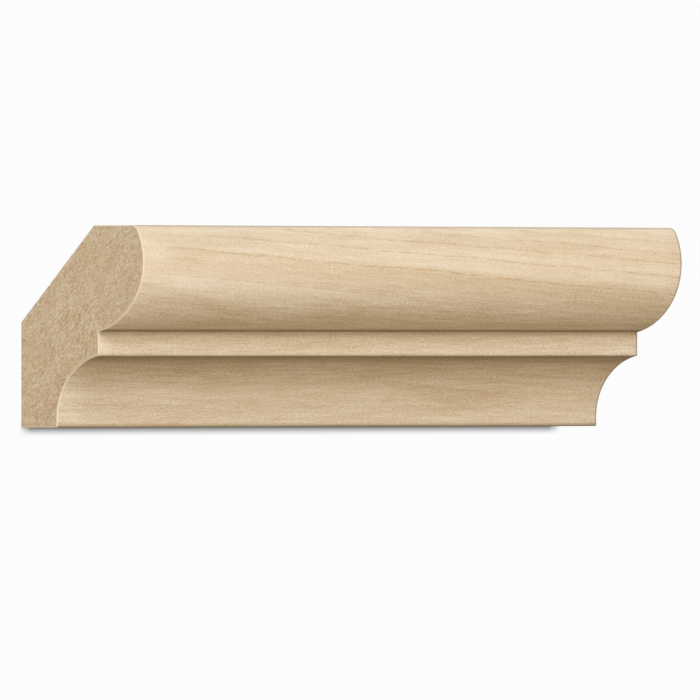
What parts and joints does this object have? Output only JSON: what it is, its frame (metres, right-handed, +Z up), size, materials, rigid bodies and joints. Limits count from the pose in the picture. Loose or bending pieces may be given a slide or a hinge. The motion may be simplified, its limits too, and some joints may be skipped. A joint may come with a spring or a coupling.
{
  "type": "crown moulding piece",
  "caption": "Short straight length of crown moulding with ovolo, fillet and cove, fibreboard wrapped in pale maple veneer, ends cut square, back chamfered for the wall and ceiling corner.",
  "frame": {"origin": "middle of the flat wall face of the fibreboard core, halfway along the length", "axes": "+X along the moulding, +Y out of the back towards the wall, +Z up towards the ceiling; the moulded face looks towards -Y"},
  "size_m": [0.305, 0.0483, 0.065],
  "materials": {
    "fibreboard": "matt, saw-cut medium-density fibreboard with short matted fibres",
    "maple_veneer": "pale plain-sliced maple, sanded smooth, thin satin clear coat"
  },
  "bodies": {
    "root": {"fibreboard_core": "fibreboard", "maple_veneer": "maple_veneer"}
  },
  "joints": []
}
